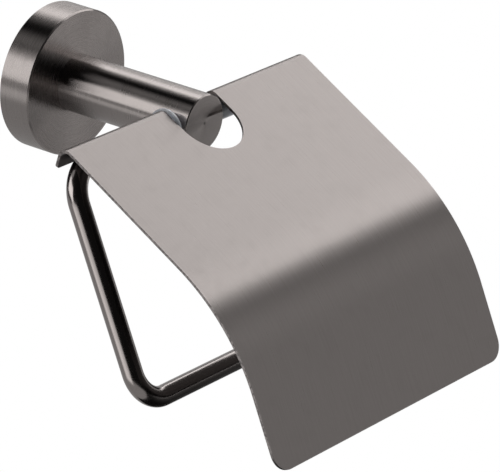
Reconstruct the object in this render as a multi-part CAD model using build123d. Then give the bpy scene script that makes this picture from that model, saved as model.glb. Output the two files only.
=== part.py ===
from build123d import *
import os
from math import cos, pi, radians, sin, sqrt, tan

# Wall-mounted toilet paper holder with a hinged cover: round rosette, post, bent rod arm and folded sheet.
#
# The wall is the plane Y = 0 and the holder reaches towards -Y. X is to the right and Z is up. The origin
# is the centre of the rosette on the wall, and the post's axis is the Y axis. All lengths are millimetres.
# Side views are drawn in (reach, height), where reach is the distance out from the wall.

# --- driving dimensions ------------------------------------------------------------------------------
ROSETTE_R = 27.0            # rosette, outer radius
ROSETTE_DEPTH = 13.0        # rosette, from the wall to its front face
ROSETTE_WALL = 2.0          # rosette, rim thickness
ROSETTE_FRONT = 3.0         # rosette, front wall thickness
PLATE_FLOOR = 3.0           # wall plate, floor thickness
PLATE_DEPTH = 8.5           # wall plate, height of its rim
PLATE_RIM = 3.2             # wall plate, rim thickness
PLATE_GAP = 0.15            # wall plate, radial clearance inside the rosette
SCREW_SPACING = 30.0        # wall screw holes, one above the other
SCREW_HOLE_R = 2.6          # wall screw holes, radius

POST_R = 10.55              # post, radius
POST_REACH = 71.8           # post, end face from the wall
ARM_R = 3.75                # arm, rod radius
ARM_REACH = 64.8            # arm, axis of the upper bar from the wall; the cover hinges on it
ARM_LEAN = 24.7             # arm, angle of its leg from the vertical, forwards
ARM_LEG = 85.3              # arm, upper bar to lower bar, axis to axis
ARM_HALF = 65.5             # arm, leg axis from the middle
ARM_UPPER_BEND = 13.3       # arm, centreline radius of the upper bend
ARM_LOWER_BEND = 11.4       # arm, centreline radius of the lower bend
ARM_UPPER_END = 52.0        # arm, free end of the upper bar
ARM_LOWER_END = 60.0        # arm, free end of the lower bar

COVER_WIDTH = 131.5         # cover, side to side
COVER_SHEET = 1.0           # cover, sheet thickness
COVER_TOP_SLOPE = 29.6      # cover, top panel below the horizontal
COVER_FRONT_SLOPE = 65.75   # cover, front panel below the horizontal
COVER_LIP_LEAN = 16.0       # cover, lip leaning back from the vertical
COVER_HEIGHT = 5.7          # cover, outer face of the top panel above the hinge axis, square to the panel
COVER_CORNER = 80.6         # cover, hinge foot to the corner where the two panels' outer planes meet
COVER_BEND = 80.8           # cover, outer radius of the wide bend between the panels
COVER_FRONT = 54.3          # cover, from that corner down to the bottom edge
COVER_FOLD = 3.85           # cover, outer radius of the fold above the lip
COVER_LIP_BACK = 5.2        # cover, outer face of the lip behind the hinge axis, square to the lip
COVER_LIP_BOTTOM = -1.3     # cover, bottom edge of the lip, height
COVER_CORNER_R = 7.0        # cover, radius of the two bottom corners
COVER_LIP_CORNER_R = 1.3    # cover, radius of the lip's two outer corners
NOTCH_HALF = 13.65          # cover, half the width of the notch round the post
NOTCH_DEPTH = 20.2          # cover, hinge foot to the round end of the notch

CLIP_BODY_IN = 21.5         # hinge clip, inner end of the body from the middle
CLIP_REACH = 35.5           # hinge clip, outer end of the body from the middle
CLIP_FLANGE_R = 7.1         # left hinge clip, radius of the flange beside the post
CLIP_FLANGE_IN = 12.6       # left hinge clip, flange face towards the post
CLIP_FLANGE_OUT = 13.5      # left hinge clip, flange face towards the sheet
CLIP_SLEEVE_R = 4.85        # hinge clip, radius of the sleeve that meets the post
CLIP_SLEEVE_IN = 10.7       # hinge clip, sleeve's face towards the post, from the middle
CLIP_BODY_R = 6.6           # hinge clip, outer radius of the body under the rod
CLIP_BORE_GAP = 0.05        # hinge clip, running clearance on the rod
BARB = (24.0, 33.0)         # hinge clip, barb from and to, from the middle
BARB_HEIGHT = (1.7, 3.0)    # hinge clip, barb's underside and top

# --- worked out --------------------------------------------------------------------------------------
TOP = radians(-COVER_TOP_SLOPE)
FRONT = radians(-COVER_FRONT_SLOPE)
LIP_DOWN = radians(-90 - COVER_LIP_LEAN)
ARM_DOWN = radians(-90 + ARM_LEAN)


def along(point, angle, length):
    """The (reach, height) point that lies a length from another at an angle."""
    return point[0] + length * cos(angle), point[1] + length * sin(angle)


def meet(first, first_angle, second, second_angle):
    """The (reach, height) point where two lines cross."""
    dx, dy = second[0] - first[0], second[1] - first[1]
    turn = sin(second_angle - first_angle)
    length = (dx * sin(second_angle) - dy * cos(second_angle)) / turn
    return along(first, first_angle, length)


HINGE = (ARM_REACH, 0.0)
HINGE_FOOT = along(HINGE, TOP + pi / 2, COVER_HEIGHT)


def side(points):
    """A (reach, height) outline as points in the YZ plane's own axes."""
    return [(-reach, height) for reach, height in points]


def prism(outline, x_from, x_to):
    """A closed (reach, height) polygon as a solid between two X planes."""
    face = Plane.YZ.offset(x_from) * make_face(Polyline(*side(outline), close=True))
    return extrude(face, x_to - x_from, dir=(1, 0, 0))


def rod_x(radius, x_from, x_to, centre=HINGE):
    """A cylinder along X about a (reach, height) centre."""
    start = Plane.YZ.offset(x_from) * Pos(-centre[0], centre[1])
    return extrude(start * Circle(radius), x_to - x_from, dir=(1, 0, 0))


def rod_out(radius, reach_from, reach_to, x=0.0, z=0.0):
    """A cylinder along the post's direction, between two reaches."""
    face = Location(Plane((x, -reach_from, z), x_dir=(1, 0, 0), z_dir=(0, -1, 0))) * Circle(radius)
    return extrude(face, reach_to - reach_from, dir=(0, -1, 0))


def rod_up(radius, z_from, z_to, reach):
    """A cylinder along Z at a reach, in the middle."""
    return extrude(Pos(0, -reach, z_from) * Circle(radius), z_to - z_from, dir=(0, 0, 1))


def hex_up(across, z_from, z_to, reach):
    """A hexagonal bar along Z at a reach, for a socket."""
    hexagon = Pos(0, -reach, z_from) * RegularPolygon(across / sqrt(3), 6)
    return extrude(hexagon, z_to - z_from, dir=(0, 0, 1))


# --- wall fixing -------------------------------------------------------------------------------------
GRUB_REACH = 5.0            # grub screw in the rosette's rim, from the wall
GRUB_R = 2.0                # grub screw's bore, radius
GRUB_TIP = 1.65             # grub screw, length of its cone
GRUB_BITE = 0.8             # grub screw, how far its cone reaches into the wall plate's groove
THREAD_GAP = 0.05           # radial gap between a screw and its plain bore
POST_SCREW_R = 3.0          # post screw's bore, radius
POST_SCREW_DEPTH = 14.0     # post screw's bore, depth in the post
WASHER = (3.3, 6.0, 1.0)    # post washer: inner radius, outer radius, thickness
HEAD = (5.0, 3.2)           # post screw's head: radius, height
PIN_R = 1.5                 # locating pin, radius
PIN_OFFSET = 7.0            # locating pin, above the post's axis
PIN_BITE = 6.0              # locating pin, depth in the post


def wall_plate():
    """Round dish with a grooved rim: its floor is screwed to the wall, its rim carries the rosette."""
    outer = ROSETTE_R - ROSETTE_WALL - PLATE_GAP
    plate = rod_out(outer, 0, PLATE_DEPTH)
    plate = chamfer(plate.faces().sort_by(Axis.Y)[0].edges(), 0.6)
    plate -= rod_out(outer - PLATE_RIM, PLATE_FLOOR, PLATE_DEPTH)
    groove = Plane.YZ * make_face(Polyline((-GRUB_REACH - 1.4, outer + 0.2), (-GRUB_REACH, outer - 1.2),
                                           (-GRUB_REACH + 1.4, outer + 0.2), close=True))
    plate -= revolve(groove, Axis.Y, 360)
    for z in (-SCREW_SPACING / 2, SCREW_SPACING / 2):
        plate -= rod_out(SCREW_HOLE_R, 0, PLATE_FLOOR, z=z)
    return plate


def rosette():
    """Round cup that hides the wall plate, with bores for the post's screw, its pin and the grub screw."""
    cup = rod_out(ROSETTE_R, 0, ROSETTE_DEPTH)
    cup = chamfer(cup.faces().sort_by(Axis.Y)[0].edges(), 0.5)
    cup -= rod_out(ROSETTE_R - ROSETTE_WALL, 0, ROSETTE_DEPTH - ROSETTE_FRONT)
    cup -= rod_out(POST_SCREW_R + 0.3, 0, ROSETTE_DEPTH)
    cup -= rod_out(PIN_R, 0, ROSETTE_DEPTH, z=PIN_OFFSET)
    cup -= rod_up(GRUB_R, -ROSETTE_R - 1, -ROSETTE_R + 4, GRUB_REACH)
    return cup


def rosette_grub_screw():
    """Pointed grub screw: its cone presses into the groove of the wall plate from below."""
    radius = GRUB_R - THREAD_GAP
    tip = -(ROSETTE_R - ROSETTE_WALL - PLATE_GAP) + GRUB_BITE
    screw = rod_up(radius, -ROSETTE_R + 0.4, tip - GRUB_TIP, GRUB_REACH)
    screw += Pos(0, -GRUB_REACH, tip - GRUB_TIP / 2) * Cone(radius, radius - GRUB_TIP, GRUB_TIP)
    return screw - hex_up(2.0, -ROSETTE_R, -ROSETTE_R + 1.5, GRUB_REACH)


def post_screw():
    """Socket-head screw that pulls the post against the rosette from inside."""
    seat = ROSETTE_DEPTH - ROSETTE_FRONT - WASHER[2]
    screw = rod_out(HEAD[0], seat - HEAD[1], seat)
    screw = chamfer(screw.faces().sort_by(Axis.Y)[-1].edges(), 0.4)
    screw += rod_out(POST_SCREW_R - THREAD_GAP, seat, ROSETTE_DEPTH + POST_SCREW_DEPTH - 2)
    socket = Location(Plane((0, -seat + HEAD[1], 0), x_dir=(1, 0, 0), z_dir=(0, -1, 0)))
    return screw - extrude(socket * RegularPolygon(4.0 / sqrt(3), 6), 2.0, dir=(0, -1, 0))


def post_washer():
    """Spring washer under the head of the post's screw, cut at one side."""
    inner, outer, thick = WASHER
    seat = ROSETTE_DEPTH - ROSETTE_FRONT
    ring = rod_out(outer, seat - thick, seat) - rod_out(inner, seat - thick, seat)
    return ring - Pos(0, -seat + thick / 2, -(inner + outer) / 2) * Box(0.9, 2 * thick, 2 * (outer - inner))


def locating_pin():
    """Pin through the rosette into the post, which stops the post from turning."""
    return rod_out(PIN_R, ROSETTE_DEPTH - ROSETTE_FRONT, ROSETTE_DEPTH + PIN_BITE, z=PIN_OFFSET)


# --- post and arm ------------------------------------------------------------------------------------
SET_R = 2.5                 # arm's set screw, bore radius
SET_LENGTH = 5.0            # arm's set screw, length


def post():
    """Round bar with a cross bore for the arm, a bore for the arm's set screw and bores at the back."""
    bar = rod_out(POST_R, ROSETTE_DEPTH, POST_REACH)
    bar = chamfer(bar.faces().sort_by(Axis.Y)[0].edges(), 0.35)
    bar -= rod_x(ARM_R + THREAD_GAP, -POST_R, POST_R)
    bar -= rod_up(SET_R, -POST_R, 0, ARM_REACH)
    bar -= rod_out(POST_SCREW_R, ROSETTE_DEPTH, ROSETTE_DEPTH + POST_SCREW_DEPTH)
    bar -= rod_out(PIN_R, ROSETTE_DEPTH, ROSETTE_DEPTH + PIN_BITE, z=PIN_OFFSET)
    return bar


def arm_set_screw():
    """Flat-pointed grub screw in the underside of the post: it holds the arm at its lean."""
    top = -ARM_R
    screw = rod_up(SET_R - THREAD_GAP, top - SET_LENGTH, top, ARM_REACH)
    screw = chamfer(screw.faces().sort_by(Axis.Z)[-1].edges(), 0.5)
    return screw - hex_up(2.5, top - SET_LENGTH, top - SET_LENGTH + 2.2, ARM_REACH)


def arm():
    """Round rod bent twice in one leaning plane: upper bar, leg on the left, lower bar for the roll."""
    foot = along(HINGE, ARM_DOWN, ARM_LEG)
    upper, lower = (-HINGE[0], HINGE[1]), (-foot[0], foot[1])
    path = FilletPolyline((ARM_UPPER_END, *upper), (-ARM_HALF, *upper), (-ARM_HALF, *lower),
                          (ARM_LOWER_END, *lower), radius=[ARM_UPPER_BEND, ARM_LOWER_BEND])
    rod = sweep(Plane((ARM_UPPER_END, *upper), z_dir=(-1, 0, 0)) * Circle(ARM_R), path)
    ends = rod.faces().filter_by(GeomType.PLANE)
    return chamfer(ends.edges(), 0.5)


# --- cover -------------------------------------------------------------------------------------------
LIP_POINT = along(HINGE, LIP_DOWN - pi / 2, COVER_LIP_BACK)
PANEL_CORNER = along(HINGE_FOOT, TOP, COVER_CORNER)
BEND_TURN = TOP - FRONT


def cover_points(inset):
    """The cover's side view, one face of the sheet: ends and middles of its straights and arcs.

    The list runs from the lip's bottom edge up over the fold, along the top panel, round the wide bend and
    down the front panel. inset is how far the face lies inside the outer one.
    """
    lip = along(LIP_POINT, LIP_DOWN + pi / 2, inset)
    top = along(HINGE_FOOT, TOP - pi / 2, inset)
    corner = along(PANEL_CORNER, (TOP + FRONT) / 2 - pi / 2, inset / cos(BEND_TURN / 2))
    fold_radius = COVER_FOLD - inset
    bend_radius = COVER_BEND - inset
    lip_line = along(lip, LIP_DOWN + pi / 2, fold_radius)
    top_line = along(top, TOP - pi / 2, fold_radius)
    fold = meet(lip_line, LIP_DOWN, top_line, TOP)
    setback = bend_radius * tan(BEND_TURN / 2)
    bend_start = along(corner, TOP, -setback)
    bend = along(bend_start, TOP - pi / 2, bend_radius)
    bottom = lip[0] + (COVER_LIP_BOTTOM - lip[1]) / tan(LIP_DOWN)
    fold_middle = (TOP + pi / 2 + LIP_DOWN - pi / 2 + 2 * pi) / 2
    front_end = along(along(PANEL_CORNER, FRONT, COVER_FRONT), FRONT - pi / 2, inset)
    return [(bottom, COVER_LIP_BOTTOM), along(fold, LIP_DOWN - pi / 2, fold_radius),
            along(fold, fold_middle, fold_radius), along(fold, TOP + pi / 2, fold_radius), bend_start,
            along(bend, (TOP + FRONT) / 2 + pi / 2, bend_radius), along(corner, FRONT, setback), front_end]


def cover_sheet():
    """Folded sheet: lip behind the arm, top panel with a notch for the post, wide bend, front panel."""
    outer, inner = side(cover_points(0)), side(cover_points(COVER_SHEET))
    edges = [Line(outer[0], inner[0]), Line(outer[7], inner[7])]
    for face in (outer, inner):
        edges += [Line(face[0], face[1]), ThreePointArc(*face[1:4]), Line(face[3], face[4]),
                  ThreePointArc(*face[4:7]), Line(face[6], face[7])]
    profile = Plane.YZ.offset(-COVER_WIDTH / 2) * make_face(edges)
    sheet = extrude(profile, COVER_WIDTH, dir=(1, 0, 0))

    def corner_edges(point, reach):
        near = Vector(0, -point[0], point[1])
        return [e for e in sheet.edges() if abs(e.length - COVER_SHEET) < reach
                and abs((e.center() - near).Y) < 1.5 and abs((e.center() - near).Z) < 1.5
                and abs(abs(e.center().X) - COVER_WIDTH / 2) < 0.1]

    sheet = fillet(corner_edges(cover_points(COVER_SHEET / 2)[7], 0.02), COVER_CORNER_R)
    sheet = fillet(corner_edges(cover_points(COVER_SHEET / 2)[0], 0.1), COVER_LIP_CORNER_R)
    return sheet - notch() - barb_slots()


def notch():
    """The space cut out of the cover for the post: a slot with a round end, square to the top panel."""
    panel = Plane((0, -HINGE_FOOT[0], HINGE_FOOT[1]), x_dir=(1, 0, 0),
                  z_dir=(0, -cos(TOP + pi / 2), sin(TOP + pi / 2)))
    round_end = NOTCH_DEPTH - NOTCH_HALF
    behind = 12.0
    slot = Pos(0, -round_end) * Circle(NOTCH_HALF)
    slot += Pos(0, (behind - round_end) / 2) * Rectangle(2 * NOTCH_HALF, behind + round_end)
    return extrude(panel * slot, 12, both=True)


def barb_slots():
    """The two slots in the lip that the hinge clips' barbs snap into."""
    low, high = BARB_HEIGHT[0] - 0.1, BARB_HEIGHT[1] + 0.1
    outline = [(ARM_REACH - 6.5, low), (ARM_REACH - 3, low), (ARM_REACH - 3, high), (ARM_REACH - 6.5, high)]
    return [prism(outline, x_from - 0.1, x_to + 0.1) for x_from, x_to in (BARB, (-BARB[1], -BARB[0]))]


def hinge_clip(hand):
    """Nylon clip in the cover's fold that turns on the rod; hand is 1 on the right and -1 on the left.

    Its body hooks over the rod and has a barb that snaps through the lip, and a thin sleeve keeps the cover
    in the middle by meeting the post. The left clip also has a flange that stands in the notch.
    """
    points = cover_points(COVER_SHEET)
    far = 14.0
    inside = [along(points[0], LIP_DOWN, far), points[1], points[2], points[3], along(points[3], TOP, far),
              along(points[0], ARM_DOWN, far)]
    body = rod_x(CLIP_BODY_R, CLIP_BODY_IN, CLIP_REACH) & prism(inside, CLIP_BODY_IN, CLIP_REACH)
    open_side = [along(HINGE, radians(-40), 20), HINGE, (ARM_REACH - 2, BARB_HEIGHT[0]),
                 (ARM_REACH - 20, BARB_HEIGHT[0]), (ARM_REACH - 20, -20)]
    body -= prism(open_side, CLIP_BODY_IN, CLIP_REACH)
    catch = [(ARM_REACH - 5.4, BARB_HEIGHT[0]), (ARM_REACH - 3.4, BARB_HEIGHT[0]),
             (ARM_REACH - 3.2, BARB_HEIGHT[1]), (ARM_REACH - 5.0, BARB_HEIGHT[1])]
    sleeve = rod_x(CLIP_SLEEVE_R, CLIP_SLEEVE_IN, CLIP_FLANGE_OUT)
    sleeve += rod_x(CLIP_SLEEVE_R, CLIP_FLANGE_OUT, CLIP_BODY_IN) & prism(inside, CLIP_FLANGE_OUT, CLIP_BODY_IN)
    clip = body + prism(catch, *BARB) + sleeve
    if hand < 0:
        flange = rod_x(CLIP_FLANGE_R, CLIP_FLANGE_IN, CLIP_FLANGE_OUT)
        clip += flange & prism([(ARM_REACH - 9, 0.6), (ARM_REACH + 9, 0.6), (ARM_REACH + 9, 9),
                                (ARM_REACH - 9, 9)], CLIP_FLANGE_IN, CLIP_FLANGE_OUT)
    clip -= rod_x(ARM_R + CLIP_BORE_GAP, CLIP_SLEEVE_IN, CLIP_REACH)
    return clip if hand > 0 else mirror(clip, about=Plane.YZ)


# --- write the parts ---------------------------------------------------------------------------------
def build():
    """Every node's name and shape."""
    return {
        "wall_plate": wall_plate(),
        "rosette": rosette(),
        "rosette_grub_screw": rosette_grub_screw(),
        "post_screw": post_screw(),
        "post_washer": post_washer(),
        "locating_pin": locating_pin(),
        "post": post(),
        "arm_set_screw": arm_set_screw(),
        "arm": arm(),
        "cover_sheet": cover_sheet(),
        "hinge_clip_left": hinge_clip(-1),
        "hinge_clip_right": hinge_clip(1),
    }


os.makedirs("parts", exist_ok=True)
for name, shape in build().items():
    export_step(shape, f"parts/{name}.step")
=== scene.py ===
"""Looks of a wall-mounted toilet paper holder: rosette, post, bent rod arm and hinged sheet cover.

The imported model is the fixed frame: metres, +Z up, the wall is the plane Y = 0 and the holder reaches towards
-Y. Side views are worked in (reach, height), where reach is the distance out from the wall. The cover's sheet
and the arm are made anew as fine surfaces with eased edges; every other part keeps its CAD shape and gets a
finish of its own.
"""
import logging
from collections.abc import Sequence
from dataclasses import dataclass, field
from enum import Enum
from math import cos, pi, radians, sin, tan

import bpy
import numpy as np
from mathutils import Matrix, Vector


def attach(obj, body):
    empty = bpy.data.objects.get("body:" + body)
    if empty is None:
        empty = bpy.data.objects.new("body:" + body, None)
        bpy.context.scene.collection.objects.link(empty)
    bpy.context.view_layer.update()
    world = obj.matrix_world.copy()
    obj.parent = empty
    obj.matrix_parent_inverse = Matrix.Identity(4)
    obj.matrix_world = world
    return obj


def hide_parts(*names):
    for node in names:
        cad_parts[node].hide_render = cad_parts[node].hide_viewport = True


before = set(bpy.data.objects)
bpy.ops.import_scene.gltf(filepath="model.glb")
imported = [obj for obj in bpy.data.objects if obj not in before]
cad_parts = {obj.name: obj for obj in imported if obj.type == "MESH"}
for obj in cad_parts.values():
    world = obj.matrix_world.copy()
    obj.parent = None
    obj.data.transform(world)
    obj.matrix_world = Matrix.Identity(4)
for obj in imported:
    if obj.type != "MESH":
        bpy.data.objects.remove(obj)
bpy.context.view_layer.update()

log = logging.getLogger("holder")
MM = 0.001
END_RADIUS = 0.0099
END_BLEND = 0.0003

Point = tuple[float, float]
Colour = tuple[float, float, float]


# --- courses: lines of straights and arcs in a plane -----------------------------------------------------
@dataclass(frozen=True)
class Run:
    """One stretch of a course: a straight when its turn is 0, otherwise an arc.

    Attributes:
        length: Length along the course.
        turn: Change of heading over the stretch, in radians, anticlockwise positive.
    """

    length: float
    turn: float = 0.0


@dataclass(frozen=True)
class Course:
    """A smooth line in a plane, laid run after run from a start point.

    Attributes:
        start: First point.
        heading: Direction of travel there, in radians.
        runs: The stretches in order.
    """

    start: Point
    heading: float
    runs: tuple[Run, ...]

    def ends(self) -> np.ndarray:
        """Distance from the start to the end of every run, with 0 first."""
        return np.concatenate([[0.0], np.cumsum([run.length for run in self.runs])])

    def at(self, distance: np.ndarray) -> tuple[np.ndarray, np.ndarray]:
        """Points and headings on the course.

        On a straight the point is the run's start plus the distance along its heading h. On an arc of
        curvature k the heading is h + k d and the point moves by
        (sin(h + k d) - sin h, cos h - cos(h + k d)) / k.

        Args:
            distance: Distances from the start, any shape.

        Returns:
            Points, with a last axis of two, and headings in radians.
        """
        ends = self.ends()
        lengths = np.array([run.length for run in self.runs])
        turns = np.array([run.turn for run in self.runs])
        headings = self.heading + np.concatenate([[0.0], np.cumsum(turns)])
        starts = [np.array(self.start)]
        for length, turn, heading in zip(lengths, turns, headings):
            starts.append(starts[-1] + self._step(length, heading, turn / length))
        index = np.clip(np.searchsorted(ends, distance, side="right") - 1, 0, len(self.runs) - 1)
        into = distance - ends[index]
        curvature = turns[index] / lengths[index]
        points = np.array(starts)[index] + self._step(into, headings[index], curvature)
        return points, headings[index] + curvature * into

    @staticmethod
    def _step(distance: np.ndarray, heading: np.ndarray, curvature: np.ndarray) -> np.ndarray:
        """Move along a straight or an arc: distance times the mean direction, which is the chord's."""
        half = np.asarray(curvature) * distance / 2
        chord = distance * np.sinc(half / pi)
        return np.stack([chord * np.cos(heading + half), chord * np.sin(heading + half)], axis=-1)


def along(point: Point, angle: float, length: float) -> Point:
    """The point that lies a length from another at an angle in radians."""
    return point[0] + length * cos(angle), point[1] + length * sin(angle)


def meet(first: Point, first_angle: float, second: Point, second_angle: float) -> Point:
    """The point where two lines cross, each given by a point and an angle in radians."""
    dx, dy = second[0] - first[0], second[1] - first[1]
    length = (dx * sin(second_angle) - dy * cos(second_angle)) / sin(second_angle - first_angle)
    return along(first, first_angle, length)


def spread(marks: Sequence[float], counts: Sequence[int]) -> np.ndarray:
    """Evenly spaced values between marks, with a count of steps for each gap."""
    parts = [np.linspace(a, b, n, endpoint=False) for a, b, n in zip(marks[:-1], marks[1:], counts)]
    return np.concatenate(parts + [np.array([marks[-1]])])


# --- meshes ----------------------------------------------------------------------------------------------
def mesh_object(name: str, points: np.ndarray, faces: list, uv: np.ndarray | None = None) -> bpy.types.Object:
    """Put worked-out points and faces into a new object at the origin.

    Args:
        name: Name of the object and its mesh.
        points: Vertices in metres, one row each.
        faces: Vertex indices of each face, ordered so that it faces outwards.
        uv: One (u, v) row for each vertex, or None.

    Returns:
        The new object, shaded smooth and linked to the scene.
    """
    mesh = bpy.data.meshes.new(name)
    mesh.from_pydata(points, [], faces)
    if uv is not None:
        layer = mesh.uv_layers.new(name="flat")
        corners = np.zeros(len(mesh.loops), np.int32)
        mesh.loops.foreach_get("vertex_index", corners)
        layer.data.foreach_set("uv", uv[corners].astype(np.float32).ravel())
    mesh.polygons.foreach_set("use_smooth", np.ones(len(mesh.polygons), bool))
    mesh.update()
    piece = bpy.data.objects.new(name, mesh)
    bpy.context.scene.collection.objects.link(piece)
    return piece


def grid_faces(rows: int, columns: int, closed: bool) -> np.ndarray:
    """Quads of a grid whose vertices run along each row; closed joins the last column to the first."""
    wide = columns if closed else columns - 1
    row, column = np.meshgrid(np.arange(rows - 1), np.arange(wide), indexing="ij")
    after = (column + 1) % columns
    corners = [row * columns + column, row * columns + after, (row + 1) * columns + after,
               (row + 1) * columns + column]
    return np.stack(corners, axis=-1).reshape(-1, 4)


def ease_edges(piece: bpy.types.Object, width: float, segments: int = 2) -> None:
    """Round every sharp edge of a piece by a small width, leaving its flat faces' shading flat."""
    bevel = piece.modifiers.new("eased_edges", "BEVEL")
    bevel.width = width
    bevel.segments = segments
    bevel.limit_method = "ANGLE"
    bevel.angle_limit = radians(50)
    bevel.harden_normals = True


# --- shader helpers --------------------------------------------------------------------------------------
class Shader:
    """Short ways to add and join nodes in one node tree."""

    def __init__(self, tree: bpy.types.NodeTree) -> None:
        """Work in a tree."""
        self.tree = tree

    def add(self, kind: str, values: dict | None = None, **settings: object) -> bpy.types.Node:
        """Add a node.

        Args:
            kind: The node's type name, without the leading ShaderNode.
            values: Input name or number to a plain value or to a socket that feeds it.
            **settings: Properties of the node.

        Returns:
            The new node.
        """
        node = self.tree.nodes.new("ShaderNode" + kind)
        for name, value in settings.items():
            setattr(node, name, value)
        for key, value in (values or {}).items():
            self.feed(node.inputs[key], value)
        return node

    def feed(self, socket: bpy.types.NodeSocket, value: object) -> None:
        """Link a socket into an input, or set the input's own value."""
        if isinstance(value, bpy.types.NodeSocket):
            self.tree.links.new(value, socket)
        else:
            socket.default_value = value

    def math(self, operation: str, *values: object, clamp: bool = False) -> bpy.types.NodeSocket:
        """A Math node's result for up to three values or sockets."""
        return self.add("Math", dict(enumerate(values)), operation=operation, use_clamp=clamp).outputs[0]

    def vector(self, x: object, y: object, z: object) -> bpy.types.NodeSocket:
        """A vector put together from three values or sockets."""
        return self.add("CombineXYZ", {0: x, 1: y, 2: z}).outputs[0]

    def spread(self, value: object, low: float, high: float, out_low: float,
               out_high: float) -> bpy.types.NodeSocket:
        """A value carried smoothly from one range to another and held at its ends."""
        node = self.add("MapRange", {0: value, 1: low, 2: high, 3: out_low, 4: out_high},
                        interpolation_type="SMOOTHSTEP")
        return node.outputs[0]

    def group(self, tree: bpy.types.NodeTree, values: dict) -> bpy.types.Node:
        """Place a node group with its own values."""
        node = self.tree.nodes.new("ShaderNodeGroup")
        node.node_tree = tree
        for key, value in values.items():
            self.feed(node.inputs[key], value)
        return node


def new_group(name: str, inputs: dict[str, str], outputs: dict[str, str]) -> tuple[Shader, dict, dict]:
    """Start a node group with named sockets.

    Args:
        name: Name of the group.
        inputs: Socket name to socket type, without the leading NodeSocket.
        outputs: The same for the outputs.

    Returns:
        A Shader for the group's tree, its inputs' inner sockets and its outputs' inner sockets, by name.
    """
    tree = bpy.data.node_groups.new(name, "ShaderNodeTree")
    for way, sockets in (("INPUT", inputs), ("OUTPUT", outputs)):
        for socket, kind in sockets.items():
            tree.interface.new_socket(socket, in_out=way, socket_type="NodeSocket" + kind)
    entry = tree.nodes.new("NodeGroupInput")
    leave = tree.nodes.new("NodeGroupOutput")
    return Shader(tree), dict(entry.outputs.items()), dict(leave.inputs.items())


def grain_group() -> bpy.types.NodeTree:
    """Hairline grain: two layers of streaks drawn out along the coordinate's first axis.

    Inputs are Place (metres, grain along X), Pitch (width of a hairline in metres), Stretch (how many times
    longer than wide) and Depth (how much the tone varies). Outputs are Height for a bump and Tone, a factor
    about 1 for the colour.
    """
    shader, given, out = new_group(
        "hairline_grain", {"Place": "Vector", "Pitch": "Float", "Stretch": "Float", "Depth": "Float"},
        {"Height": "Float", "Tone": "Float"})
    axes = shader.add("SeparateXYZ", {0: given["Place"]}).outputs
    scale = shader.math("DIVIDE", 1.0, given["Pitch"])
    drawn = shader.math("DIVIDE", scale, given["Stretch"])
    layers = []
    for share in (1.0, 0.23):
        place = shader.vector(shader.math("MULTIPLY", axes[0], shader.math("MULTIPLY", drawn, share)),
                              shader.math("MULTIPLY", axes[1], shader.math("MULTIPLY", scale, share)),
                              shader.math("MULTIPLY", axes[2], shader.math("MULTIPLY", scale, share)))
        layers.append(shader.add("TexNoise", {"Vector": place, "Scale": 1.0, "Detail": 2.0}).outputs[0])
    height = shader.math("ADD", shader.math("MULTIPLY", layers[0], 0.65),
                         shader.math("MULTIPLY", layers[1], 0.35))
    swing = shader.math("MULTIPLY", shader.math("SUBTRACT", height, 0.5), given["Depth"])
    shader.feed(out["Height"], height)
    shader.feed(out["Tone"], shader.math("ADD", swing, 1.0))
    return shader.tree


def handling_group() -> bpy.types.NodeTree:
    """Traces of use: soft clouds where the film is a little thicker and a few wiped patches.

    Inputs are Place (metres), Size (of a cloud in metres) and Amount. Outputs are Cloud, a factor about 1 for
    the colour, and Haze, a value to add to the roughness.
    """
    shader, given, out = new_group("handling", {"Place": "Vector", "Size": "Float", "Amount": "Float"},
                                   {"Cloud": "Float", "Haze": "Float"})
    scale = shader.math("DIVIDE", 1.0, given["Size"])
    clouds = shader.add("TexNoise", {"Vector": given["Place"], "Scale": scale, "Detail": 3.0}).outputs[0]
    fine = shader.math("MULTIPLY", scale, 6.0)
    wiped = shader.add("TexNoise", {"Vector": given["Place"], "Scale": fine, "Detail": 4.0}).outputs[0]
    swing = shader.math("SUBTRACT", clouds, 0.5)
    shader.feed(out["Cloud"], shader.math("ADD", shader.math("MULTIPLY", swing, given["Amount"]), 1.0))
    haze = shader.spread(wiped, 0.5, 0.75, 0.0, 1.0)
    shader.feed(out["Haze"], shader.math("MULTIPLY", haze, shader.math("MULTIPLY", given["Amount"], 0.4)))
    return shader.tree


class Lay(Enum):
    """Which way a finish's hairlines run."""

    SHEET = "across the folds of the cover, on its flat pattern"
    ROD = "along the bent rod"
    TURNED = "round the post's axis, as from a lathe"


@dataclass(frozen=True)
class GroupLibrary:
    """The node groups that the finishes share."""

    grain: bpy.types.NodeTree = field(default_factory=grain_group)
    handling: bpy.types.NodeTree = field(default_factory=handling_group)


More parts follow.
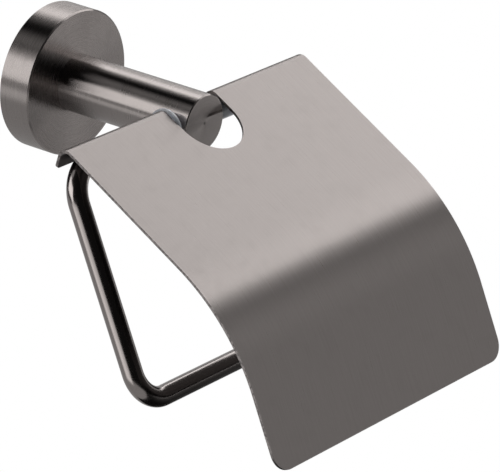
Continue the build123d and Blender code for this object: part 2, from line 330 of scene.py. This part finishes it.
@dataclass(frozen=True)
class BrushedMetal:
    """Steel with a thin dark coating over a directional brushed finish.

    Attributes:
        name: Material name.
        tone: Reflected colour, linear.
        roughness: Roughness of the gloss.
        stretch: How strongly the gloss is drawn out across the hairlines, 0 to 1.
        lay: Which way the hairlines run.
        pitch: Width of a hairline in metres.
        depth: How much the colour varies from hairline to hairline.
        relief: Height of the hairlines in metres.
        edge_tone: Lighter colour painted along the sheet's cut edges, a painted highlight.
        soil: Amount of cloudiness from handling.
        end_tone: Factor for the colour on a turned end face, within END_RADIUS of the post's axis.
        end_gloss: Factor for the roughness there.
    """

    name: str
    tone: Colour
    roughness: float
    stretch: float
    lay: Lay
    pitch: float = 0.00022
    depth: float = 0.5
    relief: float = 0.000004
    edge_tone: Colour = (0.36, 0.33, 0.32)
    soil: float = 0.06
    end_tone: float = 1.0
    end_gloss: float = 1.0

    def place(self, shader: Shader) -> bpy.types.NodeSocket:
        """Coordinates in metres whose first axis follows the hairlines."""
        if self.lay is Lay.TURNED:
            own = shader.add("TexCoord").outputs["Object"]
            x, y, z = shader.add("SeparateXYZ", {0: own}).outputs[:]
            radius = shader.math("SQRT", shader.math("ADD", shader.math("MULTIPLY", x, x),
                                                     shader.math("MULTIPLY", z, z)))
            angle = shader.math("ARCTAN2", z, x)
            return shader.vector(shader.math("MULTIPLY", angle, 0.02), radius, y)
        flat = shader.add("UVMap", uv_map="flat").outputs[0]
        u, v, _ = shader.add("SeparateXYZ", {0: flat}).outputs[:]
        metres = 0.1
        return shader.vector(shader.math("MULTIPLY", v, metres), shader.math("MULTIPLY", u, metres), 0.0)

    def material(self, groups: GroupLibrary) -> bpy.types.Material:
        """Build the material.

        Args:
            groups: The shared node groups.

        Returns:
            The new material.
        """
        made = bpy.data.materials.new(self.name)
        made.use_nodes = True
        made.node_tree.nodes.clear()
        shader = Shader(made.node_tree)
        place = self.place(shader)
        own = shader.add("TexCoord").outputs["Object"]
        grain = shader.group(groups.grain, {"Place": place, "Pitch": self.pitch, "Stretch": 60.0,
                                            "Depth": self.depth})
        handling = shader.group(groups.handling, {"Place": own, "Size": 0.03, "Amount": self.soil})
        factor = shader.math("MULTIPLY", grain.outputs["Tone"], handling.outputs["Cloud"])
        colour = shader.add("VectorMath", {0: self.tone, "Scale": factor}, operation="SCALE").outputs[0]
        if self.lay is Lay.SHEET:
            # A lighter tone within 0.6 mm of the sheet's cut edges, broken up in specks: painted highlight
            # along the edges.
            rim = shader.add("Attribute", attribute_name="rim").outputs["Fac"]
            speck = shader.add("TexNoise", {"Vector": own, "Scale": 900.0, "Detail": 2.0}).outputs[0]
            painted_edge_highlight = shader.math("MULTIPLY", shader.spread(rim, 0.0, 0.0006, 1.0, 0.0),
                               shader.spread(speck, 0.35, 0.6, 0.2, 0.8))
            edge_colour = (*self.edge_tone, 1.0)
            colour = shader.add("Mix", {0: painted_edge_highlight, 6: colour, 7: edge_colour}, data_type="RGBA").outputs[2]
        rough = shader.math("ADD", shader.math("MULTIPLY", grain.outputs["Tone"], self.roughness),
                            handling.outputs["Haze"])
        if self.end_tone < 1:
            radius = shader.add("SeparateXYZ", {0: place}).outputs[1]
            tone = shader.spread(radius, END_RADIUS, END_RADIUS + END_BLEND, self.end_tone, 1.0)
            centre = shader.spread(radius, 0.0002, 0.0008, 0.35, 1.0)
            shade = shader.math("MULTIPLY", tone, centre)
            colour = shader.add("VectorMath", {0: colour, "Scale": shade}, operation="SCALE").outputs[0]
            end_gloss = shader.spread(radius, END_RADIUS, END_RADIUS + END_BLEND, self.end_gloss, 1.0)
            rough = shader.math("MULTIPLY", rough, end_gloss)
        bump = shader.add("Bump", {"Height": grain.outputs["Height"], "Strength": 0.6,
                                   "Distance": self.relief})
        tangent = shader.add("Tangent", direction_type="RADIAL", axis="Y")
        if self.lay is not Lay.TURNED:
            tangent = shader.add("Tangent", direction_type="UV_MAP", uv_map="flat")
        gloss = shader.add("BsdfPrincipled", {
            "Base Color": colour, "Metallic": 1.0, "Roughness": rough, "Normal": bump.outputs[0],
            "Anisotropic": self.stretch, "Anisotropic Rotation": 0.25 if self.lay is Lay.TURNED else 0.0,
            "Tangent": tangent.outputs[0]})
        shader.add("OutputMaterial", {0: gloss.outputs[0]})
        return made


@dataclass(frozen=True)
class PlainMetal:
    """Hidden hardware: plated or blackened steel with a cloudy plating and fine pits.

    Attributes:
        name: Material name.
        tone: Reflected colour, linear.
        roughness: Roughness of the gloss.
        cloud: How much the plating varies.
    """

    name: str
    tone: Colour
    roughness: float
    cloud: float = 0.35

    def material(self, groups: GroupLibrary) -> bpy.types.Material:
        """Build the material from the shared node groups."""
        made = bpy.data.materials.new(self.name)
        made.use_nodes = True
        made.node_tree.nodes.clear()
        shader = Shader(made.node_tree)
        own = shader.add("TexCoord").outputs["Object"]
        handling = shader.group(groups.handling, {"Place": own, "Size": 0.006, "Amount": self.cloud})
        pits = shader.add("TexNoise", {"Vector": own, "Scale": 2600.0, "Detail": 3.0}).outputs[0]
        colour = shader.add("VectorMath", {0: self.tone, "Scale": handling.outputs["Cloud"]},
                            operation="SCALE").outputs[0]
        rough = shader.math("ADD", handling.outputs["Haze"], self.roughness)
        bump = shader.add("Bump", {"Height": pits, "Strength": 0.5, "Distance": 0.00001})
        gloss = shader.add("BsdfPrincipled", {"Base Color": colour, "Metallic": 1.0, "Roughness": rough,
                                              "Normal": bump.outputs[0]})
        shader.add("OutputMaterial", {0: gloss.outputs[0]})
        return made


@dataclass(frozen=True)
class MouldedNylon:
    """Milky moulded nylon with a fine tool texture.

    Attributes:
        name: Material name.
        tone: Diffuse colour, linear.
        roughness: Roughness of the gloss.
        clearness: Share of light that goes through.
    """

    name: str
    tone: Colour
    roughness: float
    clearness: float

    def material(self, groups: GroupLibrary) -> bpy.types.Material:
        """Build the material from the shared node groups."""
        made = bpy.data.materials.new(self.name)
        made.use_nodes = True
        made.node_tree.nodes.clear()
        shader = Shader(made.node_tree)
        own = shader.add("TexCoord").outputs["Object"]
        handling = shader.group(groups.handling, {"Place": own, "Size": 0.008, "Amount": 0.1})
        tool = shader.add("TexNoise", {"Vector": own, "Scale": 3500.0, "Detail": 2.0}).outputs[0]
        colour = shader.add("VectorMath", {0: self.tone, "Scale": handling.outputs["Cloud"]},
                            operation="SCALE").outputs[0]
        rough = shader.math("ADD", handling.outputs["Haze"], self.roughness)
        bump = shader.add("Bump", {"Height": tool, "Strength": 0.4, "Distance": 0.00001})
        body = shader.add("BsdfPrincipled", {
            "Base Color": colour, "Roughness": rough, "Normal": bump.outputs[0],
            "Transmission Weight": self.clearness})
        shader.add("OutputMaterial", {0: body.outputs[0]})
        return made


# --- the cover -------------------------------------------------------------------------------------------
@dataclass
class Cover:
    """The hinged cover: one folded sheet, with a notch for the post, on two nylon clips.

    Lengths are millimetres and angles degrees; slopes are below the horizontal.
    """

    hinge_reach: float = 64.8
    width: float = 131.5
    thickness: float = 1.0
    top_slope: float = 29.6
    front_slope: float = 65.75
    lip_lean: float = 16.0
    height: float = 5.7
    corner: float = 80.6
    bend_radius: float = 80.8
    front: float = 54.3
    fold_radius: float = 3.85
    lip_back: float = 5.2
    lip_bottom: float = -1.02
    corner_radius: float = 7.0
    lip_corner_radius: float = 1.3
    notch_half: float = 13.65
    notch_depth: float = 20.2
    barb_from: float = 23.9
    barb_to: float = 33.1
    barb_low: float = 1.6
    barb_high: float = 3.1
    edge: float = 0.16

    def course(self) -> tuple[Course, float]:
        """The outer face's side view, from the lip's bottom edge over the fold and down to the front edge.

        Returns:
            The course in (reach, height), and the distance along it to the hinge foot, the point of the top
            panel that lies straight out from the hinge axis.
        """
        top, front = radians(-self.top_slope), radians(-self.front_slope)
        rise = radians(90 - self.lip_lean)
        hinge = (self.hinge_reach, 0.0)
        foot = along(hinge, top + pi / 2, self.height)
        lip = along(hinge, rise + pi / 2, self.lip_back)
        fold = meet(lip, rise, foot, top)
        bottom = meet(lip, rise, (0.0, self.lip_bottom), 0.0)
        fold_turn, bend_turn = rise - top, top - front
        fold_setback = self.fold_radius * tan(fold_turn / 2)
        bend_setback = self.bend_radius * tan(bend_turn / 2)
        lip_length = np.hypot(fold[0] - bottom[0], fold[1] - bottom[1]) - fold_setback
        behind = np.hypot(fold[0] - foot[0], fold[1] - foot[1]) - fold_setback
        runs = (Run(lip_length), Run(self.fold_radius * fold_turn, -fold_turn),
                Run(behind + self.corner - bend_setback), Run(self.bend_radius * bend_turn, -bend_turn),
                Run(self.front - bend_setback))
        return Course(bottom, rise, runs), lip_length + self.fold_radius * fold_turn + behind

    def columns(self) -> np.ndarray:
        """X of the grid's lines: fine near the edges, round the corners, at the notch and the barb slots."""
        half, inner = self.width / 2, self.width / 2 - self.corner_radius
        corner = inner + self.corner_radius * np.sin(np.linspace(0, pi / 2, 13))
        lip_corner = half - self.lip_corner_radius * (1 - np.sin(np.linspace(0, pi / 2, 6)))
        stops = (self.notch_half, self.notch_half + 0.6, self.barb_from, self.barb_to, inner)
        plain = spread(stops, (1, 3, 4, 6))
        outer = np.unique(np.round(np.concatenate([plain, corner, lip_corner, [half - 0.5]]), 4))
        outer = outer[np.concatenate([[True], np.diff(outer) > 0.04])]
        outer[-1] = half
        notch = self.notch_half * np.sin(np.linspace(-pi / 2, pi / 2, 33))
        return np.concatenate([-outer[::-1], notch[1:-1], outer])

    def rounded(self, x: np.ndarray, radius: float) -> np.ndarray:
        """How far a rounded corner stands back from its square edge at each x."""
        into = np.clip(np.abs(x) - (self.width / 2 - radius), 0, radius)
        return radius - np.sqrt(radius**2 - into**2)

    def flat_pattern(self) -> tuple[np.ndarray, np.ndarray, np.ndarray]:
        """The sheet's grid on its flat pattern.

        Rows run from the lip to the front edge. In the notch's columns the rows start on the notch's round
        end, s = centre + sqrt(r^2 - x^2), and straighten out towards the wide bend.

        Returns:
            X and S, the distance along the course, of every grid point, and which cells are metal.
        """
        course, foot = self.course()
        lip_end, fold_end, bend_start, bend_end, total = course.ends()[1:]
        x = self.columns()
        centre = foot + self.notch_depth - self.notch_half
        rise = sin(radians(90 - self.lip_lean))
        slot_low, slot_high = ((height - self.lip_bottom) / rise
                               for height in (self.barb_low, self.barb_high))
        start = self.rounded(x, self.lip_corner_radius)
        finish = total - self.rounded(x, self.corner_radius)
        in_notch = np.abs(x) < self.notch_half - 1e-6
        round_end = centre + np.sqrt(np.clip(self.notch_half**2 - x**2, 0, None))
        levels = (slot_low, slot_high, lip_end, fold_end, centre)
        lines = [start, *(np.full_like(x, level) for level in levels)]
        bands = [(*ends, count) for ends, count in zip(zip(lines, lines[1:]), (3, 2, 1, 18, 4))]
        bands += [(round_end, np.full_like(x, bend_start), 14),
                  (np.full_like(x, bend_start), np.full_like(x, bend_end), 24),
                  (np.full_like(x, bend_end), finish, 12)]
        rows = [a + (b - a) * step for a, b, n in bands for step in np.arange(n)[:, None] / n]
        s = np.array(rows + [finish])
        edge_row = 0.4
        s = np.vstack([s[:1], s[:1] + edge_row, s[1:-1], s[-1:] - edge_row, s[-1:]])
        first = 1 + sum(n for _, _, n in bands[:5])
        cells = np.ones((s.shape[0] - 1, s.shape[1] - 1), bool)
        notch_cells = in_notch[:-1] | in_notch[1:]
        cells[:first, notch_cells] = False
        middle = (np.abs(x[:-1]) + np.abs(x[1:])) / 2
        slotted = (middle > self.barb_from) & (middle < self.barb_to)
        below_slot = 1 + bands[0][2]
        cells[below_slot:below_slot + bands[1][2], slotted] = False
        return np.broadcast_to(x, s.shape), s, cells

    def sheet(self) -> bpy.types.Object:
        """Carry the flat pattern onto the course, give it its thickness and ease its edges.

        A grid point (x, s) goes to (x, -reach(s), height(s)), where (reach, height) is the course at s.

        Returns:
            The sheet.
        """
        course, foot = self.course()
        x, s, cells = self.flat_pattern()
        place, _ = course.at(s)
        points = np.stack([x, -place[..., 0], place[..., 1]], axis=-1).reshape(-1, 3) * MM
        quads = grid_faces(*s.shape, closed=False)[cells.ravel()][:, ::-1]
        used, index = np.unique(quads, return_inverse=True)
        flat = np.stack([x.ravel(), s.ravel()], axis=-1)[used]
        piece = mesh_object("cover_sheet_eased", points[used], index.reshape(-1, 4).tolist(), flat * MM / 0.1)
        rim = piece.data.attributes.new("rim", "FLOAT", "POINT")
        rim.data.foreach_set("value", (self.edge_distance(flat, foot) * MM).astype(np.float32))
        wall = piece.modifiers.new("sheet_thickness", "SOLIDIFY")
        wall.thickness = self.thickness * MM
        wall.offset = -1
        wall.use_even_offset = True
        # The inner face and the cut edges take the second material, the painted shade.
        wall.material_offset = 1
        wall.material_offset_rim = 1
        ease_edges(piece, self.edge * MM)
        return piece

    def edge_distance(self, flat: np.ndarray, foot: float) -> np.ndarray:
        """Distance on the flat pattern from each (x, s) to the nearest cut edge."""
        x, s = np.abs(flat[:, 0]), flat[:, 1]
        total = self.course()[0].ends()[-1]
        centre = foot + self.notch_depth - self.notch_half
        past = np.where(s > centre, np.hypot(x, s - centre), x)
        return np.min([self.width / 2 - x, s, total - s, np.abs(past - self.notch_half)], axis=0)

    def build(self, metal: bpy.types.Material, inside: bpy.types.Material, nylon: bpy.types.Material) -> None:
        """Make the sheet, dress it and the clips, and hang the sheet on the cover's body.

        Args:
            metal: Finish of the outer face.
            inside: A darker copy of the outer face's metal: painted shade on the inner face and the cut edges.
            nylon: Finish of the clips.
        """
        sheet = self.sheet()
        sheet.data.materials.append(metal)
        sheet.data.materials.append(inside)
        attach(sheet, "cover")
        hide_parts("cover_sheet")
        dress("hinge_clip_left", nylon)
        dress("hinge_clip_right", nylon)
        log.info("cover: sheet of %d faces on two clips", len(sheet.data.polygons))


# --- the arm ---------------------------------------------------------------------------------------------
@dataclass
class Arm:
    """The bent rod: upper bar through the post, leg on the left, lower bar for the roll.

    Lengths are millimetres; the lean is in degrees from the vertical.
    """

    hinge_reach: float = 64.8
    radius: float = 3.75
    lean: float = 24.7
    leg: float = 85.3
    half: float = 65.5
    upper_bend: float = 13.3
    lower_bend: float = 11.4
    upper_end: float = 52.0
    lower_end: float = 60.0
    end_round: float = 0.5
    around: int = 56

    def course(self) -> Course:
        """The rod's centreline in its own leaning plane: right, and up towards the hinge axis."""
        quarter = pi / 2
        runs = (Run(self.upper_end + self.half - self.upper_bend), Run(self.upper_bend * quarter, quarter),
                Run(self.leg - self.upper_bend - self.lower_bend), Run(self.lower_bend * quarter, quarter),
                Run(self.half + self.lower_end - self.lower_bend))
        return Course((self.upper_end, 0.0), pi, runs)

    def rod(self) -> bpy.types.Object:
        """Carry a circle along the centreline, with a quarter round at both ends.

        A point is C + r (cos a N + sin a B): C is the centreline, N its normal in the leaning plane and B the
        plane's own normal. Over the last of each end r falls as the end round's quarter circle.

        Returns:
            The rod, closed at both ends.
        """
        course = self.course()
        ends = course.ends()
        swing = np.linspace(0, pi / 2, 6)
        ease = self.end_round * (1 - np.cos(swing))
        shrink = self.end_round * (1 - np.sin(swing))
        stops = (ends[0] + self.end_round, *ends[1:-1], ends[-1] - self.end_round)
        main = spread(stops, (16, 32, 12, 32, 18))
        distance = np.concatenate([ease[:-1], main, ends[-1] - ease[-2::-1]])
        taper = np.zeros(len(distance))
        last = len(swing) - 1
        taper[:last], taper[-last:] = shrink[:last], shrink[last - 1::-1]
        centre, heading = course.at(distance)
        lean = radians(self.lean)
        across, up = np.array([1.0, 0, 0]), np.array([0, sin(lean), cos(lean)])
        out = np.cross(across, up)
        origin = np.array([0, -self.hinge_reach, 0])
        line = origin + centre[:, :1] * across + centre[:, 1:] * up
        normal = -np.sin(heading)[:, None] * across + np.cos(heading)[:, None] * up
        angle = np.linspace(0, 2 * pi, self.around, endpoint=False)
        ring = np.cos(angle)[:, None] * normal[:, None] + np.sin(angle)[:, None] * out
        points = (line[:, None] + (self.radius - taper)[:, None, None] * ring).reshape(-1, 3)
        rows = len(distance)
        first, last = line[:1], line[-1:]
        count = rows * self.around
        quads = grid_faces(rows, self.around, closed=True)[:, ::-1].tolist()
        after = (np.arange(self.around) + 1) % self.around
        start_fan = [(count, a, b) for a, b in enumerate(after.tolist())]
        base = (rows - 1) * self.around
        end_fan = [(count + 1, base + b, base + a) for a, b in enumerate(after.tolist())]
        around = np.tile(angle * self.radius, rows)
        length = np.repeat(distance, self.around)
        flat = np.concatenate([np.stack([around, length], axis=-1), [[0, 0], [0, ends[-1]]]])
        return mesh_object("arm_rod", np.concatenate([points, first, last]) * MM,
                           quads + start_fan + end_fan, flat * MM / 0.1)

    def build(self, metal: bpy.types.Material) -> None:
        """Make the rod, dress it and fix it to the holder's body."""
        rod = self.rod()
        rod.data.materials.append(metal)
        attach(rod, "holder")
        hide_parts("arm")
        log.info("arm: rod of %d faces", len(rod.data.polygons))


# --- the wall fixing and the post ------------------------------------------------------------------------
def dress(node: str, material: bpy.types.Material) -> None:
    """Give a CAD node its finish."""
    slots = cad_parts[node].material_slots
    for slot in slots:
        slot.material = material


@dataclass
class Mounting:
    """Rosette, wall plate, post and their screws, which keep their CAD shapes."""

    finishes: dict[str, bpy.types.Material]

    def build(self) -> None:
        """Dress every part of the mounting."""
        for node, material in self.finishes.items():
            dress(node, material)
            log.info("mounting: %s in %s", node, material.name)


# --- the studio ------------------------------------------------------------------------------------------
@dataclass(frozen=True)
class RoomPatch:
    """A soft-edged patch of light in the room round the holder, seen only in reflections.

    Angles are degrees: bearing is measured from straight out of the wall towards the right, rise above the
    horizon.
    """

    bearing: float
    rise: float
    half_width: float
    half_height: float
    softness: float
    light: float


@dataclass
class Studio:
    """Camera, floor, lamp and the room's reflections.

    below and above are the room's light under and over the horizon, before the patches are added.
    """

    target: tuple[float, float, float] = (44.39, -60.0, -59.86)
    bearing: float = -52.71
    rise: float = 22.69
    roll: float = -2.31
    distance: float = 1482.8
    lens: float = 291.41
    floor_height: float = -1.2
    below: float = 0.5
    above: float = 0.012
    patches: tuple[RoomPatch, ...] = (
        RoomPatch(-131, 16, 26, 15.5, 3, 2.4),
        RoomPatch(-150, 44, 18, 10, 6, 0.5),
        RoomPatch(-95, -10, 24, 13, 6, 1.35),
        RoomPatch(128, -2, 18, 26, 5, 0.5),
        RoomPatch(136, 40, 9, 8, 4, 0.9),
        RoomPatch(152, 50, 14, 12, 8, 0.4),
        RoomPatch(50, 14, 36, 28, 5, 0.55),
        RoomPatch(62, 33, 40, 3.5, 3, 0.2),
        RoomPatch(52, -30, 34, 22, 8, 0.28),
    )

    def camera(self) -> None:
        """Place the camera by bearing, rise and roll round its target."""
        bearing, rise, roll = radians(self.bearing), radians(self.rise), radians(self.roll)
        back = Vector((sin(bearing) * cos(rise), -cos(bearing) * cos(rise), sin(rise)))
        right = Vector((0, 0, 1)).cross(back).normalized()
        up = back.cross(right)
        turned_right = right * cos(roll) - up * sin(roll)
        turned_up = right * sin(roll) + up * cos(roll)
        lens = bpy.data.cameras.new("camera")
        lens.lens = self.lens
        lens.sensor_width = 36.0
        lens.clip_start = 0.05
        lens.clip_end = 50.0
        seat = bpy.data.objects.new("camera", lens)
        turn = Matrix((turned_right, turned_up, back)).transposed().to_4x4()
        place = Vector(self.target) * MM + back * self.distance * MM
        seat.matrix_world = Matrix.Translation(place) @ turn
        bpy.context.scene.collection.objects.link(seat)
        bpy.context.scene.camera = seat

    def floor(self) -> None:
        """A wide pale floor below the holder."""
        side = 12.0
        corners = np.array([(-1, -1), (1, -1), (1, 1), (-1, 1)]) * side
        points = np.column_stack([corners, np.full(4, self.floor_height)])
        floor = mesh_object("floor", points, [(0, 1, 2, 3)])
        made = bpy.data.materials.new("pale_floor")
        made.use_nodes = True
        made.node_tree.nodes.clear()
        shader = Shader(made.node_tree)
        seen = shader.add("LightPath").outputs["Is Camera Ray"]
        pale = shader.add("BsdfDiffuse", {"Color": (0.8, 0.8, 0.8, 1)})
        bright = shader.add("Emission", {"Color": (1, 1, 1, 1), "Strength": 1.0})
        both = shader.add("MixShader", {0: seen, 1: pale.outputs[0], 2: bright.outputs[0]})
        shader.add("OutputMaterial", {0: both.outputs[0]})
        floor.data.materials.append(made)
        floor.visible_glossy = False

    def lamp(self, name: str, centre: tuple[float, float, float], size: tuple[float, float],
             radiance: float) -> None:
        """Hang one rectangular soft lamp that faces straight down.

        Args:
            name: Name of the lamp.
            centre: Its middle in metres.
            size: Its width along X and depth along Y in metres.
            radiance: Brightness of its face.
        """
        light = bpy.data.lights.new(name, "AREA")
        light.shape = "RECTANGLE"
        light.size, light.size_y = size
        light.energy = radiance * pi * size[0] * size[1]
        hung = bpy.data.objects.new(name, light)
        hung.location = centre
        bpy.context.scene.collection.objects.link(hung)

    def painted_shade_card(self) -> None:
        """A dark sheet under the cover's front, seen only in reflections: painted shade that keeps the lower
        bar's reflection dark.
        """
        (left, right), (near, far), height = (-0.08, 0.20), (-0.34, -0.085), -0.12
        points = np.array([(left, near, height), (right, near, height), (right, far, height),
                           (left, far, height)])
        card = mesh_object("painted_shade_card", points, [(0, 1, 2, 3)])
        made = bpy.data.materials.new("painted_shade_card")
        made.use_nodes = True
        made.node_tree.nodes["Principled BSDF"].inputs["Base Color"].default_value = (0.02, 0.02, 0.02, 1)
        card.data.materials.append(made)
        for ray in ("visible_camera", "visible_diffuse", "visible_shadow", "visible_transmission"):
            setattr(card, ray, False)

    def room(self) -> None:
        """The room: white to the eye, and dim with soft bright patches in reflections."""
        world = bpy.data.worlds.new("room")
        bpy.context.scene.world = world
        world.use_nodes = True
        world.node_tree.nodes.clear()
        shader = Shader(world.node_tree)
        x, y, z = shader.add("SeparateXYZ", {0: shader.add("TexCoord").outputs["Generated"]}).outputs[:]
        bearing = shader.math("ARCTAN2", x, shader.math("MULTIPLY", y, -1.0))
        rise = shader.math("ARCSINE", z)
        light = shader.spread(rise, radians(-13), radians(-8), self.below, self.above)
        for patch in self.patches:
            off = shader.math("WRAP", shader.math("SUBTRACT", bearing, radians(patch.bearing)), pi, -pi)
            edge = radians(patch.softness)
            inside = []
            for value, half in ((off, patch.half_width),
                                (shader.math("SUBTRACT", rise, radians(patch.rise)), patch.half_height)):
                reach = radians(half)
                distance = shader.math("ABSOLUTE", value)
                inside.append(shader.spread(distance, reach - edge, reach + edge, 1.0, 0.0))
            mask = shader.math("MULTIPLY", *inside)
            light = shader.math("ADD", light, shader.math("MULTIPLY", mask, patch.light))
        seen = shader.add("LightPath").outputs["Is Camera Ray"]
        light = shader.math("MAXIMUM", light, seen)
        back = shader.add("Background", {"Color": (1, 1, 1, 1), "Strength": light})
        shader.add("OutputWorld", {0: back.outputs[0]})

    def build(self) -> None:
        """Set up everything round the holder."""
        self.camera()
        self.floor()
        self.lamp("overhead_right", centre=(1.6, 0.175, 1.0), size=(2.4, 1.75), radiance=2.3)
        # Painted shade under the cover's front, seen only in reflections.
        self.painted_shade_card()
        self.room()
        bpy.context.scene.view_settings.view_transform = "Standard"


# --- put together ----------------------------------------------------------------------------------------
def write_sizes() -> None:
    """Bring the view layer up to date."""
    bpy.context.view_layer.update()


def main() -> None:
    """Build the holder's pieces in order and report each."""
    logging.basicConfig(level=logging.INFO, format="%(name)s: %(message)s")
    groups = GroupLibrary()
    gunmetal = (0.30, 0.272, 0.262)
    sheet = BrushedMetal("gunmetal_sheet_brushed", gunmetal, 0.30, 1.0, Lay.SHEET,
                         soil=0.03).material(groups)
    # The sheet's metal at a third of its brightness: painted shade for the inner face and the cut edges.
    inside = BrushedMetal("gunmetal_sheet_inside_painted_shade", (0.10, 0.092, 0.09), 0.34, 0.8,
                          Lay.SHEET).material(groups)
    rod = BrushedMetal("gunmetal_rod_satin", gunmetal, 0.18, 0.2, Lay.ROD, depth=0.25).material(groups)
    fine = 0.000001
    turned = BrushedMetal("gunmetal_rosette_turned", gunmetal, 0.27, 1.0, Lay.TURNED,
                          relief=fine).material(groups)
    drawn = BrushedMetal("gunmetal_post_turned", gunmetal, 0.25, 1.0, Lay.TURNED, relief=fine,
                         end_tone=0.65, end_gloss=0.5).material(groups)
    nylon = MouldedNylon("milky_nylon", (0.80, 0.83, 0.88), 0.3, 0.5).material(groups)
    zinc = PlainMetal("zinc_plated_steel", (0.52, 0.52, 0.50), 0.38).material(groups)
    bright = PlainMetal("stainless_screw", (0.56, 0.55, 0.53), 0.3).material(groups)
    black = PlainMetal("black_oxide_screw", (0.06, 0.058, 0.057), 0.42).material(groups)
    Cover().build(sheet, inside, nylon)
    Arm().build(rod)
    Mounting({"wall_plate": zinc, "rosette": turned, "rosette_grub_screw": black, "post_screw": bright,
              "post_washer": bright, "locating_pin": bright, "post": drawn, "arm_set_screw": black}).build()
    Studio().build()
    write_sizes()


if __name__ == "__main__":
    main()
